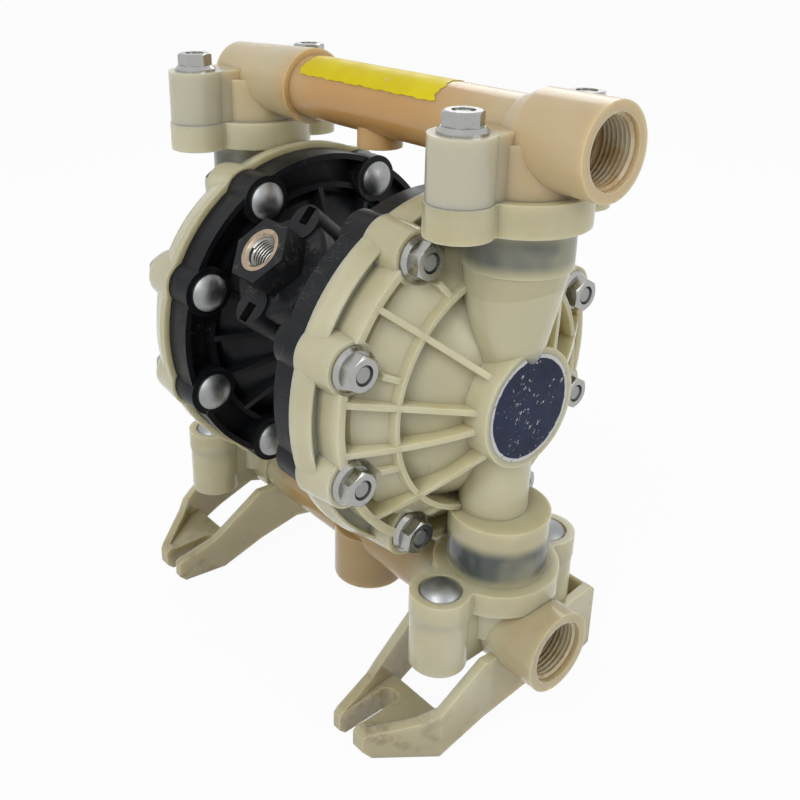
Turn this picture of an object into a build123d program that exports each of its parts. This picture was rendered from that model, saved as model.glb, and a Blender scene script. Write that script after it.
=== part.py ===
"""Air operated double diaphragm pump with plastic wetted parts, built piece by piece.

The frame is +Z up. The origin lies on the floor, at the centre of the four foot slots.
X runs along the diaphragm shaft, towards the two threaded fluid ports. -Y is the side with
the air inlet. The two pumping sides mirror each other about the YZ plane.
"""

from build123d import *
from math import cos, radians, sin, sqrt
import os

os.makedirs("parts", exist_ok=True)

# ---- Driving dimensions, in millimetres ----
# Main layout
axis_height = 141.0  # diaphragm shaft above the floor
parting = 46.0  # joint of fluid cover and centre housing, from the middle
duct_x = 84.0  # vertical fluid ducts and ball checks, from the middle
joint_rise = 84.4  # manifold joints, above and below the shaft
outlet_rise = 103.3  # outlet manifold's axis above the shaft
inlet_drop = 99.5  # inlet manifold's axis below the shaft
stroke = 7.5  # shaft travel, each way
ball_lift = 6.0  # travel of a check ball
carriage_travel = 3.5  # travel of the valve carriage and pilot pins, each way

# Clearances
seat_gap = 0.05  # between a piece and the bore or face that it is pressed or bolted into
run_gap = 0.05  # radial, between a shaft and its bushing
free_gap = 0.3  # between pieces that only touch

# Eight clamp bolts on each side, and the four manifold bolts at top and bottom, all M8
bolt_r = 4.0
bolt_hole_r = 4.4
dome_r = 8.2
dome_height = 4.4
nut_across_flats = 13.0
nut_height = 7.6
nut_flange_r = 8.95
nut_flange_height = 2.4
nut_rim = 0.9
bolt_end_inset = 0.6  # bolt's end below the nut's top face
bolt_circle = 66.1
bolt_angles = (20.7, 62.0, 118.0, 159.3, 200.7, 242.0, 298.0, 339.3)
between_bolts = (0.0, 41.4, 90.0, 138.6, 180.0, 221.4, 270.0, 318.6)
dome_seat = 31.5  # seat of the dome heads on the centre housing, from the middle
nut_seat = 63.5  # seat of the nuts on the fluid cover, from the middle
lug_y = 32.0  # manifold bolts, either side of the duct

# Centre housing
core_r = 30.0
core_half = 30.0  # floor of the air chamber, from the middle
housing_flange_r = 74.0
housing_flange_back = 40.0
housing_lip = 2.6
housing_lip_start = 32.5
housing_wall_r = 58.0
housing_wall = 2.6
housing_wall_start = 34.0
housing_boss_r = 11.0
housing_rib = 2.5

# Diaphragm
diaphragm_thick = 3.0
bead_inner_r = 52.0
bead_outer_r = 57.8
bead_thick = 5.0
clamp_r = 27.0  # flat middle held between the two plates
bulge = 5.0  # height of the rolling bulge between plates and bead

# Shaft assembly
shaft_r = 7.5
shaft_half = 38.5
air_plate_r = 31.0
air_plate_thick = 6.0
fluid_plate_r = 26.5
fluid_plate_thick = 7.0
fluid_plate_flat = 12.0  # radius of the flat under the bolt's head
plate_edge = 1.5
shaft_bolt_r = 5.0
shaft_bolt_depth = 22.0
shaft_bolt_head = 6.4
shaft_bolt_flats = 16.0
bushing_r = 10.0
bushing_start = 14.0
seal_width = 4.0
shaft_bore_r = 8.4

# Air valve, on the rear side
block_half_x = 27.0
block_half_z = 24.5
block_face = 46.0  # rear face of the valve block, from the shaft
pocket_half_x = 19.0
pocket_half_z = 15.5
pocket_floor = 14.0  # from the shaft
valve_plate_thick = 3.0
valve_plate_half_x = 15.0
valve_plate_half_z = 10.0
cup_half_x = 7.0
cup_half_z = 7.0
cup_height = 7.0
carriage_half_x = 12.0
carriage_half_z = 8.5
carriage_height = 14.0
pilot_y = 25.0
pilot_r = 2.5
pilot_tip = 33.5  # outer end of a pilot pin, from the middle
pilot_bushing_r = 5.0
cover_thick = 5.0
gasket_thick = 0.8
screw_x = 21.5
screw_z = 19.5
screw_r = 2.5
screw_head_r = 4.4
screw_head_height = 3.2
screw_depth = 14.0

# Air inlet, on the front side, and exhaust, on the rear side, both radial from the shaft
inlet_angle = 138.6  # from +Y, counter-clockwise seen from +X
inlet_reach = 75.4
inlet_hex_flats = 26.0
inlet_disc_r = 22.5
inlet_disc_start = 54.0
inlet_disc_end = 63.0
inlet_stem_r = 17.0
disc_chamfer = 1.5
insert_r = 9.4
insert_bore_r = 6.5  # 1/4 inch pipe thread, major radius
insert_length = 13.0
insert_chamfer = 1.2
air_passage_r = 4.5
lug_offset = 20.0  # hold-down lugs beside the air inlet, along the tangent
hold_down_r = 8.0
hold_down_end = 64.0
hold_down_slot = (5.0, 8.0, 6.0)
exhaust_angle = 310.0
exhaust_reach = 60.0
exhaust_boss_r = 13.0
exhaust_bore_r = 8.3  # 3/8 inch pipe thread, major radius
exhaust_depth = 15.0

# Fluid cover
cover_flange_r = 76.8
cover_flange_face = 56.0
cover_rim = 3.5  # square edge of the flange; the rest slopes inwards
groove_rim = 3.0
groove_width = 4.3
groove_depth = 3.0
cover_wall = 3.5  # raised wall inside the groove
cover_wall_face = 65.5
window_width = 3.5
band_lip = 1.5
cover_boss_r = 12.5
cover_boss_draft = 5.5  # degrees
window_floor = 57.0
band_outer_x = 62.5
band_inner = (72.0, 51.0)
ring_rib = 2.2
ring_top = 76.0
skin_outer = (66.0, 49.0)
skin_middle = (77.5, 38.0)
skin_inner = (84.0, 24.5)
label_boss_r = 24.5
chamber_outer = (57.0, 48.5)
chamber_middle = (71.5, 36.0)
chamber_inner = (79.0, 20.0)
label_face = 95.5
label_r = 21.9
label_thick = 1.0
cover_rib = 2.4
rib_outer_x = 65.2
rib_middle = (76.4, 50.2)  # middle and inner end of the line of the ribs' tops
rib_inner = (92.0, 22.0)
spot_face_r = 10.0
stub_r = 58.0
stub_end = 69.0

# Vertical ducts of a fluid cover
neck_r = 20.8
ear_disc_r = 26.0
ear_lug_r = 12.5
upper_ear = 12.0
lower_ear = 10.0
upper_neck_foot = 56.0  # lower end of the upper neck, above the shaft
channel_foot = 12.0
channel_foot_r = 14.5
channel_foot_x = 79.5
lower_neck_top = 49.0  # rim of the lower neck, below the shaft
pipe_r = 14.2
pipe_x = 80.2
duct_bore_r = 9.5
duct_bore_x = 80.5
upper_dome_recess = 4.0
lower_dome_recess = 1.5
dome_recess_r = 9.0

# Ball checks
ball_r = 11.0
cage_r = 16.3
seat_height = 8.0
seat_bore_r = 8.0
seat_cone_r = 10.0
cone_depth = 2.5
seat_ledge = 57.0  # ledge under an outlet seat, above the shaft
cage_slot = 6.0
ball_stop_gap = 4.5  # outlet manifold's ball stop above the joint
joint_seal_r = 18.6
joint_seal_section = 1.2

# Manifolds
tube_r = 13.5
tube_bore_r = 9.75
outlet_face = 121.5
inlet_face = 119.9
port_boss_r = 17.25
port_boss_start = 92.0
port_swell = 9.0  # length over which the outlet tube swells out to its port boss
port_swell_angle = 23.5  # degrees
port_bore_r = 13.2  # 3/4 inch pipe thread, major radius
port_depth = 15.0
hub_r = 16.5
hub_start = 38.0
hub_end = 105.0
hub_end_r = 13.6
inlet_hub_r = 15.0
hub_disc_r = 21.5
outlet_lug_top = 107.6
inlet_lug_end = 108.2
nut_pocket_depth = 6.0
nut_pocket_r = 9.4
centre_boss_r = 17.0
centre_boss_x = 4.0
outlet_boss_r = 9.5
outlet_boss_x = 6.5
outlet_boss_drop = 18.3
centre_boss_end = 15.4  # underside of the inlet manifold's blank boss, above the floor

# Feet, moulded with the inlet manifold
foot_wall = 4.0
foot_root_outer = 104.0
foot_root_inner = 56.0
foot_knee_outer = 99.5
foot_knee_inner = 59.0
foot_knee_y = 44.0
foot_tip_outer = 80.5
foot_tip_inner = 62.0
foot_tip_y = 68.5
heel_outer = 96.0  # the rear feet are blunt and stay tall to their ends
heel_y = 59.0
heel_top = 33.0
heel_corner = 3.0
heel_round = 6.0
foot_top = 36.0  # top of the walls beside the hub
foot_top_y = 22.0
foot_step = 17.0  # height of the walls where they reach the pad
foot_step_y = 49.0
foot_arch = 13.5  # underside of the walls, below the tube
foot_toe = 3.0
foot_pad_height = 11.0
foot_pad_start = 36.0
foot_slot_x = 70.2
foot_slot_width = 8.5
foot_slot_end = 42.0


# The cover's flange, groove, raised wall and window band, one inside the other
groove_outer_r = cover_flange_r - groove_rim
cover_wall_outer_r = groove_outer_r - groove_width
cover_wall_inner_r = cover_wall_outer_r - cover_wall
band_outer_r = cover_wall_inner_r - window_width - band_lip
rib_line = ((rib_outer_x, cover_wall_inner_r + 1), rib_middle, rib_inner)
rib_start_r = cover_wall_inner_r + 0.5


# ---- Planes ----
def across(x):
    """Plane across the shaft at x, with its own x along +Y and its own y up."""
    return Plane(origin=(x, 0, axis_height), x_dir=(0, 1, 0), z_dir=(1, 0, 0))


def level(rise):
    """Level plane above or below the shaft."""
    return Plane.XY.offset(axis_height + rise)


def radial_section(angle):
    """Plane through the shaft's axis, with its own x along +X and its own y outwards."""
    out = (0, -sin(radians(angle)), cos(radians(angle)))
    return Plane(origin=(0, 0, axis_height), x_dir=(1, 0, 0), z_dir=out)


def facing(angle, distance):
    """Plane square to a radius of the shaft, with its own x along +X."""
    out = (0, cos(radians(angle)), sin(radians(angle)))
    middle = (0, distance * out[1], axis_height + distance * out[2])
    return Plane(origin=middle, x_dir=(1, 0, 0), z_dir=out)


along = radial_section(90)
shaft_axis = Axis((0, 0, axis_height), (1, 0, 0))
outlet_z = axis_height + outlet_rise
inlet_z = axis_height - inlet_drop
bolt_points = [
    (bolt_circle * cos(radians(a)), bolt_circle * sin(radians(a))) for a in bolt_angles
]


def finish(piece, name):
    """Label a piece and write it to its own STEP file."""
    piece.part.label = name
    export_step(piece.part, f"parts/{name}.step")


# ---- Fasteners ----
def dome_bolt(length):
    """Dome-head bolt along +Z, with its head's seat at z = 0 and its shank above it."""
    with BuildPart() as bolt:
        with BuildSketch(Plane.XZ):
            with BuildLine():
                ThreePointArc((0, -dome_height), (0.62 * dome_r, -0.8 * dome_height), (dome_r, -1))
                Polyline((dome_r, -1), (dome_r, 0), (bolt_r, 0), (bolt_r, length - 1))
                Polyline((bolt_r, length - 1), (bolt_r - 1, length), (0, length), (0, -dome_height))
            make_face()
        revolve(axis=Axis.Z)
    return bolt.part


def flange_nut():
    """Hexagon nut with a flange, along +Z, with its seat at z = 0."""
    corner = nut_across_flats / sqrt(3)
    with BuildPart() as nut:
        with BuildSketch():
            Circle(nut_flange_r)
        extrude(amount=nut_flange_height)
        with BuildSketch():
            RegularPolygon(corner, 6)
        extrude(amount=nut_height)
        with BuildSketch(Plane.XZ):
            Polygon(
                (0, 0),
                (nut_flange_r, 0),
                (nut_flange_r, nut_rim),
                (corner, nut_flange_height),
                (corner, nut_height - 0.7),
                (corner - 1.2, nut_height),
                (0, nut_height),
                align=None,
            )
        revolve(axis=Axis.Z, mode=Mode.INTERSECT)
        with BuildSketch():
            Circle(bolt_r + seat_gap)
        extrude(amount=nut_height, mode=Mode.SUBTRACT)
    return nut.part


nut_end = nut_seat + nut_height
cover_bolt = dome_bolt(nut_end - bolt_end_inset - dome_seat)
nut = flange_nut()

with BuildPart() as cover_bolts_right:
    with Locations([Location((dome_seat, y, axis_height + z), (0, 90, 0)) for y, z in bolt_points]):
        add(cover_bolt)
finish(cover_bolts_right, "cover_bolts_right")

with BuildPart() as cover_bolts_left:
    mirror(cover_bolts_right.part, about=Plane.YZ)
finish(cover_bolts_left, "cover_bolts_left")

with BuildPart() as cover_nuts_right:
    with Locations([Location((nut_seat, y, axis_height + z), (0, 90, 0)) for y, z in bolt_points]):
        add(nut)
finish(cover_nuts_right, "cover_nuts_right")

with BuildPart() as cover_nuts_left:
    mirror(cover_nuts_right.part, about=Plane.YZ)
finish(cover_nuts_left, "cover_nuts_left")

# The outlet's bolts come up through the cover's ears and take their nuts on top of the lugs.
# The inlet's bolts go down, and their nuts sit in pockets under the lugs.
lug_places = [(x, y) for x in (-duct_x, duct_x) for y in (-lug_y, lug_y)]
outlet_head = axis_height + joint_rise - upper_ear + upper_dome_recess
outlet_nut = axis_height + outlet_lug_top
outlet_bolt = dome_bolt(outlet_nut + nut_height - bolt_end_inset - outlet_head)
inlet_head = axis_height - joint_rise + lower_ear - lower_dome_recess
inlet_nut = axis_height - inlet_lug_end + nut_pocket_depth
inlet_bolt = dome_bolt(inlet_head - inlet_nut + nut_height + bolt_end_inset)

with BuildPart() as outlet_bolts:
    with Locations([Location((x, y, outlet_head)) for x, y in lug_places]):
        add(outlet_bolt)
finish(outlet_bolts, "outlet_bolts")

with BuildPart() as outlet_nuts:
    with Locations([Location((x, y, outlet_nut)) for x, y in lug_places]):
        add(nut)
finish(outlet_nuts, "outlet_nuts")

with BuildPart() as inlet_bolts:
    with Locations([Location((x, y, inlet_head), (180, 0, 0)) for x, y in lug_places]):
        add(inlet_bolt)
finish(inlet_bolts, "inlet_bolts")

with BuildPart() as inlet_nuts:
    with Locations([Location((x, y, inlet_nut), (180, 0, 0)) for x, y in lug_places]):
        add(nut)
finish(inlet_nuts, "inlet_nuts")

# ---- Centre housing: core, two ribbed flanges, air inlet, exhaust and valve block ----
dish_outer = bead_inner_r - 1.5
dish_inner = air_plate_r + 0.8
groove_floor = parting - bead_thick / 2

with BuildPart() as center_housing:
    with BuildSketch(along):
        Polygon(
            (0, 0),
            (0, core_r),
            (core_half - 8, core_r),
            (housing_flange_back - 2, bead_inner_r + 1),
            (housing_flange_back, bead_inner_r + 3),
            (housing_flange_back, housing_flange_r - housing_lip),
            (housing_lip_start, housing_flange_r - housing_lip),
            (housing_lip_start, housing_flange_r),
            (parting, housing_flange_r),
            (parting, 0),
            align=None,
        )
    revolve(axis=shaft_axis)
    # Raised wall that joins the bosses, and the bosses themselves
    with BuildSketch(across(housing_wall_start)):
        Circle(housing_wall_r + housing_wall)
        Circle(housing_wall_r, mode=Mode.SUBTRACT)
    extrude(amount=parting - housing_wall_start)
    with BuildSketch(across(dome_seat)):
        with Locations(*bolt_points):
            Circle(housing_boss_r)
    extrude(amount=parting - dome_seat)
    # Radial ribs behind the flange
    for angle in bolt_angles + between_bolts:
        with BuildSketch(radial_section(angle)):
            Polygon(
                (core_half - 9, core_r - 2),
                (housing_wall_start, housing_wall_r + 1),
                (housing_flange_back + 1, housing_wall_r + 1),
                (core_half + 3, core_r + 8),
                (core_half - 5, core_r - 2),
                align=None,
            )
        extrude(amount=housing_rib / 2, both=True)
    # Air chamber with the groove for the diaphragm's bead
    with BuildSketch(along):
        Polygon(
            (parting, 0),
            (parting, bead_outer_r + seat_gap),
            (groove_floor, bead_outer_r + seat_gap),
            (groove_floor, dish_outer),
            (core_half, dish_inner),
            (core_half, 0),
            align=None,
        )
    revolve(axis=shaft_axis, mode=Mode.SUBTRACT)
    with BuildSketch(across(dome_seat)):
        with Locations(*bolt_points):
            Circle(bolt_hole_r)
    extrude(amount=parting - dome_seat, mode=Mode.SUBTRACT)
    mirror(about=Plane.YZ)

    # Air inlet: stem, round disc, hexagon and two hold-down lugs with a slot in their ends
    with BuildSketch(facing(inlet_angle, core_r - 8)):
        Circle(inlet_stem_r)
    extrude(amount=inlet_disc_start - core_r + 10)
    with BuildSketch(facing(inlet_angle, inlet_disc_start)):
        Circle(inlet_disc_r)
    extrude(amount=inlet_disc_end - inlet_disc_start - disc_chamfer)
    with BuildSketch(facing(inlet_angle, inlet_disc_end - disc_chamfer)):
        Circle(inlet_disc_r)
    extrude(amount=disc_chamfer, taper=45)
    with BuildSketch(facing(inlet_angle, inlet_disc_end - 1)):
        RegularPolygon(inlet_hex_flats / sqrt(3), 6)
    extrude(amount=inlet_reach - inlet_disc_end + 1)
    with BuildSketch(facing(inlet_angle, core_r - 8)):
        with Locations((0, lug_offset), (0, -lug_offset)):
            Circle(hold_down_r)
    extrude(amount=hold_down_end - core_r + 8)
    with BuildSketch(facing(inlet_angle, hold_down_end)):
        with Locations((0, lug_offset + 3), (0, -lug_offset - 3)):
            Rectangle(hold_down_slot[0], hold_down_slot[1])
    extrude(amount=-hold_down_slot[2], mode=Mode.SUBTRACT)

    # Exhaust boss and valve block
    with BuildSketch(facing(exhaust_angle, core_r - 8)):
        Circle(exhaust_boss_r)
    extrude(amount=exhaust_reach - core_r + 8)
    with BuildSketch(Plane.XZ.offset(-block_face)):
        with Locations((0, axis_height)):
            RectangleRounded(2 * block_half_x, 2 * block_half_z, 5)
    extrude(amount=block_face - 10)

    # Valve pocket and air passages
    with BuildSketch(Plane.XZ.offset(-block_face)):
        with Locations((0, axis_height)):
            RectangleRounded(2 * pocket_half_x, 2 * pocket_half_z, 3)
    extrude(amount=block_face - pocket_floor, mode=Mode.SUBTRACT)
    with BuildSketch(facing(inlet_angle, inlet_reach)):
        Circle(insert_r + seat_gap)
    extrude(amount=-insert_length, mode=Mode.SUBTRACT)
    with BuildSketch(facing(inlet_angle, inlet_reach)):
        Circle(air_passage_r)
    extrude(amount=-(inlet_reach - 14), mode=Mode.SUBTRACT)
    with BuildSketch(Plane.XZ.offset(-pocket_floor)):
        with Locations((0, axis_height + 12)):
            Circle(3)
    extrude(amount=pocket_floor + 10, mode=Mode.SUBTRACT)
    with BuildSketch(facing(exhaust_angle, exhaust_reach)):
        Circle(exhaust_bore_r)
    extrude(amount=-exhaust_depth, mode=Mode.SUBTRACT)
    with BuildSketch(facing(exhaust_angle, exhaust_reach)):
        Circle(exhaust_bore_r - 2)
    extrude(amount=-(exhaust_reach - 18), mode=Mode.SUBTRACT)
    with BuildSketch(Plane.XZ.offset(-block_face)):
        for x in (-screw_x, screw_x):
            for z in (-screw_z, screw_z):
                with Locations((x, axis_height + z)):
                    Circle(screw_r + seat_gap)
    extrude(amount=screw_depth, mode=Mode.SUBTRACT)

    # Shaft bore, seats for bushings and seals, pilot holes and air ways into the chambers
    with BuildSketch(across(-core_half)):
        Circle(shaft_bore_r)
        with Locations((pilot_y, 0)):
            Circle(pilot_bushing_r + seat_gap)
        with Locations((pilot_y, -11)):
            Circle(2.5)
    extrude(amount=2 * core_half, mode=Mode.SUBTRACT)
    for side in (-1, 1):
        with BuildSketch(across(side * core_half)):
            Circle(bushing_r + seat_gap)
        extrude(amount=-side * (core_half - bushing_start), mode=Mode.SUBTRACT)
finish(center_housing, "center_housing")

# ---- Pieces of the centre section ----
seal_start = core_half - seal_width

with BuildPart() as shaft_bushings:
    for side in (-1, 1):
        with BuildSketch(across(side * bushing_start)):
            Circle(bushing_r)
            Circle(shaft_r + run_gap, mode=Mode.SUBTRACT)
        extrude(amount=side * (seal_start - bushing_start))
finish(shaft_bushings, "shaft_bushings")

with BuildPart() as shaft_seals:
    for side in (-1, 1):
        with BuildSketch(across(side * (seal_start + seat_gap))):
            Circle(bushing_r)
            Circle(shaft_r + run_gap, mode=Mode.SUBTRACT)
        extrude(amount=side * (seal_width - free_gap))
        with BuildSketch(across(side * core_half)):
            Circle(0.5 * (shaft_r + bushing_r) + 0.5)
            Circle(0.5 * (shaft_r + bushing_r) - 0.5, mode=Mode.SUBTRACT)
        extrude(amount=-side * 2.0, mode=Mode.SUBTRACT)
finish(shaft_seals, "shaft_seals")

with BuildPart() as pilot_bushings:
    for side in (-1, 1):
        with BuildSketch(across(side * (pocket_half_x + seat_gap))):
            with Locations((pilot_y, 0)):
                Circle(pilot_bushing_r)
                Circle(pilot_r + run_gap, mode=Mode.SUBTRACT)
        extrude(amount=side * (core_half - pocket_half_x - 2 * seat_gap))
finish(pilot_bushings, "pilot_bushings")

with BuildPart() as air_inlet_insert:
    with BuildSketch(facing(inlet_angle, inlet_reach)):
        Circle(insert_r)
        Circle(insert_bore_r, mode=Mode.SUBTRACT)
    extrude(amount=-(insert_length - seat_gap))
    with BuildSketch(facing(inlet_angle, inlet_reach)):
        Circle(insert_bore_r + insert_chamfer)
    extrude(amount=-insert_chamfer, taper=45, mode=Mode.SUBTRACT)
finish(air_inlet_insert, "air_inlet_insert")

# ---- Air valve ----
rear = Plane(origin=(0, 0, axis_height), x_dir=(-1, 0, 0), z_dir=(0, 1, 0))
plate_start = pocket_floor + seat_gap
plate_end = plate_start + valve_plate_thick
cup_end = plate_end + run_gap + cup_height
carriage_start = plate_end + 1.0
carriage_end = carriage_start + carriage_height

with BuildPart() as valve_plate:
    with BuildSketch(rear.offset(plate_start)):
        RectangleRounded(2 * valve_plate_half_x, 2 * valve_plate_half_z, 2)
        with Locations((-7, 0), (0, 0), (7, 0)):
            SlotOverall(10, 3, rotation=90, mode=Mode.SUBTRACT)
    extrude(amount=valve_plate_thick)
finish(valve_plate, "valve_plate")

# The cup slides on the plate and joins two of its three slots
with BuildPart() as valve_cup:
    with BuildSketch(rear.offset(plate_end + run_gap)):
        RectangleRounded(2 * cup_half_x, 2 * cup_half_z, 2)
    extrude(amount=cup_height)
    with BuildSketch(rear.offset(plate_end + run_gap)):
        RectangleRounded(2 * cup_half_x - 3, 2 * cup_half_z - 3, 1)
    extrude(amount=cup_height / 2, mode=Mode.SUBTRACT)
finish(valve_cup, "valve_cup")

# The carriage straddles the cup, and the pilot pins push on its ends
with BuildPart() as valve_carriage:
    with BuildSketch(rear.offset(carriage_start)):
        RectangleRounded(2 * carriage_half_x, 2 * carriage_half_z, 1.5)
    extrude(amount=carriage_height)
    with BuildSketch(rear.offset(carriage_start)):
        Rectangle(2 * cup_half_x + 2 * seat_gap, 2 * carriage_half_z + 1)
    extrude(amount=cup_end - carriage_start + seat_gap, mode=Mode.SUBTRACT)
finish(valve_carriage, "valve_carriage")

with BuildPart() as pilot_pin_right:
    with BuildSketch(across(carriage_half_x + free_gap)):
        with Locations((pilot_y, 0)):
            Circle(pilot_r)
    extrude(amount=pilot_tip - carriage_half_x - free_gap)
    chamfer(faces().sort_by(Axis.X)[-1].edges(), 0.6)
finish(pilot_pin_right, "pilot_pin_right")

with BuildPart() as pilot_pin_left:
    mirror(pilot_pin_right.part, about=Plane.YZ)
finish(pilot_pin_left, "pilot_pin_left")

with BuildPart() as valve_cover_gasket:
    with BuildSketch(rear.offset(block_face)):
        RectangleRounded(2 * block_half_x - 1, 2 * block_half_z - 1, 5)
        RectangleRounded(2 * pocket_half_x, 2 * pocket_half_z, 3, mode=Mode.SUBTRACT)
        with Locations(*[(x, z) for x in (-screw_x, screw_x) for z in (-screw_z, screw_z)]):
            Circle(screw_r + seat_gap, mode=Mode.SUBTRACT)
    extrude(amount=gasket_thick)
finish(valve_cover_gasket, "valve_cover_gasket")

valve_cover_back = block_face + gasket_thick
valve_cover_face = valve_cover_back + cover_thick
with BuildPart() as valve_cover:
    with BuildSketch(rear.offset(valve_cover_back)):
        RectangleRounded(2 * block_half_x, 2 * block_half_z, 5)
    extrude(amount=cover_thick)
    chamfer(faces().sort_by(Axis.Y)[-1].edges(), 1.2)
    with BuildSketch(rear.offset(valve_cover_face - 1.8)):
        RectangleRounded(2 * screw_x - 12, 2 * screw_z - 2, 3)
        with GridLocations(8, 0, 3, 1):
            Rectangle(1.6, 2 * screw_z, mode=Mode.SUBTRACT)
    extrude(amount=2, mode=Mode.SUBTRACT)
    with BuildSketch(rear.offset(valve_cover_back)):
        with Locations(*[(x, z) for x in (-screw_x, screw_x) for z in (-screw_z, screw_z)]):
            Circle(screw_r + seat_gap)
    extrude(amount=cover_thick, mode=Mode.SUBTRACT)
finish(valve_cover, "valve_cover")

with BuildPart() as valve_cover_screws:
    with BuildSketch(rear.offset(valve_cover_face + screw_head_height)):
        with Locations(*[(x, z) for x in (-screw_x, screw_x) for z in (-screw_z, screw_z)]):
            Circle(screw_r)
    extrude(amount=-(screw_head_height + cover_thick + gasket_thick + screw_depth - 1))
    with BuildSketch(rear.offset(valve_cover_face)):
        with Locations(*[(x, z) for x in (-screw_x, screw_x) for z in (-screw_z, screw_z)]):
            Circle(screw_head_r)
    extrude(amount=screw_head_height)
    with BuildSketch(rear.offset(valve_cover_face + screw_head_height)):
        with Locations(*[(x, z) for x in (-screw_x, screw_x) for z in (-screw_z, screw_z)]):
            RegularPolygon(2.3, 6)
    extrude(amount=-1.8, mode=Mode.SUBTRACT)
finish(valve_cover_screws, "valve_cover_screws")

# ---- Shaft, plates and diaphragms ----
air_plate_face = shaft_half + air_plate_thick
diaphragm_face = air_plate_face + diaphragm_thick
fluid_plate_face = diaphragm_face + fluid_plate_thick
bolt_tip = shaft_half - shaft_bolt_depth + 2

with BuildPart() as diaphragm_shaft:
    with BuildSketch(along):
        Polygon(
            (-shaft_half, 0),
            (-shaft_half, shaft_r - 1),
            (-shaft_half + 1, shaft_r),
            (shaft_half - 1, shaft_r),
            (shaft_half, shaft_r - 1),
            (shaft_half, 0),
            align=None,
        )
    revolve(axis=shaft_axis)
    for side in (-1, 1):
        with BuildSketch(across(side * shaft_half)):
            Circle(shaft_bolt_r + seat_gap)
        extrude(amount=-side * shaft_bolt_depth, mode=Mode.SUBTRACT)
finish(diaphragm_shaft, "diaphragm_shaft")

with BuildPart() as shaft_bolts:
    with BuildSketch(across(bolt_tip)):
        Circle(shaft_bolt_r)
    extrude(amount=fluid_plate_face - bolt_tip)
    with BuildSketch(across(fluid_plate_face)):
        RegularPolygon(shaft_bolt_flats / sqrt(3), 6)
    extrude(amount=shaft_bolt_head)
    mirror(about=Plane.YZ)
finish(shaft_bolts, "shaft_bolts")

with BuildPart() as air_plate_right:
    with BuildSketch(along):
        Polygon(
            (shaft_half, shaft_bolt_r + seat_gap),
            (shaft_half, air_plate_r - 3),
            (shaft_half + 1.5, air_plate_r),
            (air_plate_face - 2.5, air_plate_r),
            (air_plate_face, clamp_r),
            (air_plate_face, shaft_bolt_r + seat_gap),
            align=None,
        )
    revolve(axis=shaft_axis)
finish(air_plate_right, "air_plate_right")

with BuildPart() as air_plate_left:
    mirror(air_plate_right.part, about=Plane.YZ)
finish(air_plate_left, "air_plate_left")

with BuildPart() as fluid_plate_right:
    with BuildSketch(along):
        with BuildLine():
            Polyline(
                (diaphragm_face, fluid_plate_r - plate_edge),
                (diaphragm_face, shaft_bolt_r + seat_gap),
                (fluid_plate_face, shaft_bolt_r + seat_gap),
                (fluid_plate_face, fluid_plate_flat),
            )
            ThreePointArc(
                (fluid_plate_face, fluid_plate_flat),
                (fluid_plate_face - 1.6, 20.5),
                (diaphragm_face + plate_edge, fluid_plate_r),
            )
            Line(
                (diaphragm_face + plate_edge, fluid_plate_r),
                (diaphragm_face, fluid_plate_r - plate_edge),
            )
        make_face()
    revolve(axis=shaft_axis)
finish(fluid_plate_right, "fluid_plate_right")

with BuildPart() as fluid_plate_left:
    mirror(fluid_plate_right.part, about=Plane.YZ)
finish(fluid_plate_left, "fluid_plate_left")

# A flat middle, a rolling bulge towards the fluid and a thick bead in the cover's groove
bulge_start = air_plate_r
bulge_end = bead_inner_r - 2.5
bulge_mid = (bulge_start + bulge_end) / 2
with BuildPart() as diaphragm_right:
    with BuildSketch(along):
        with BuildLine():
            Polyline(
                (air_plate_face, bulge_start),
                (air_plate_face, shaft_bolt_r + seat_gap),
                (diaphragm_face, shaft_bolt_r + seat_gap),
                (diaphragm_face, bulge_start),
            )
            ThreePointArc(
                (diaphragm_face, bulge_start),
                (diaphragm_face + bulge, bulge_mid),
                (diaphragm_face, bulge_end),
            )
            Polyline(
                (diaphragm_face, bulge_end),
                (parting + bead_thick / 2, bead_inner_r),
                (parting + bead_thick / 2, bead_outer_r),
                (parting - bead_thick / 2, bead_outer_r),
                (parting - bead_thick / 2, bead_inner_r),
                (air_plate_face, bulge_end),
            )
            ThreePointArc(
                (air_plate_face, bulge_end),
                (air_plate_face + bulge, bulge_mid),
                (air_plate_face, bulge_start),
            )
        make_face()
    revolve(axis=shaft_axis)
finish(diaphragm_right, "diaphragm_right")

with BuildPart() as diaphragm_left:
    mirror(diaphragm_right.part, about=Plane.YZ)
finish(diaphragm_left, "diaphragm_left")

# ---- Fluid covers: ribbed dome, bolt bosses, label boss and the vertical duct ----
def ear():
    """Outline of a manifold joint, as an ear on a duct."""
    Circle(ear_disc_r)
    Rectangle(2 * ear_lug_r - 4, 2 * lug_y)
    with Locations((0, lug_y), (0, -lug_y)):
        Circle(ear_lug_r)


# The ribs are drawn flat, raised, and trimmed to the line of their tops
with BuildPart() as cover_ribs:
    with BuildSketch(across(window_floor - 4)):
        for side in (-1, 1):
            for rise in (-1, 1):
                start = (side * rib_start_r * cos(radians(41)), rise * rib_start_r * sin(radians(41)))
                end = (side * 16 * cos(radians(44)), rise * 16 * sin(radians(44)))
                with BuildLine():
                    Line(start, end)
                trace(line_width=cover_rib)
                start = (side * rib_start_r, rise * 10.5)
                with BuildLine():
                    ThreePointArc(start, (side * 44, rise * 7.5), (side * 21, rise * 3.2))
                trace(line_width=cover_rib)
    extrude(amount=45)
    with BuildSketch(along):
        with BuildLine():
            Polyline((parting, 0), (parting, rib_line[0][1]), rib_line[0])
            ThreePointArc(*rib_line)
            Polyline(rib_line[2], (rib_line[2][0], 0), (parting, 0))
        make_face()
    revolve(axis=shaft_axis, mode=Mode.INTERSECT)

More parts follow.
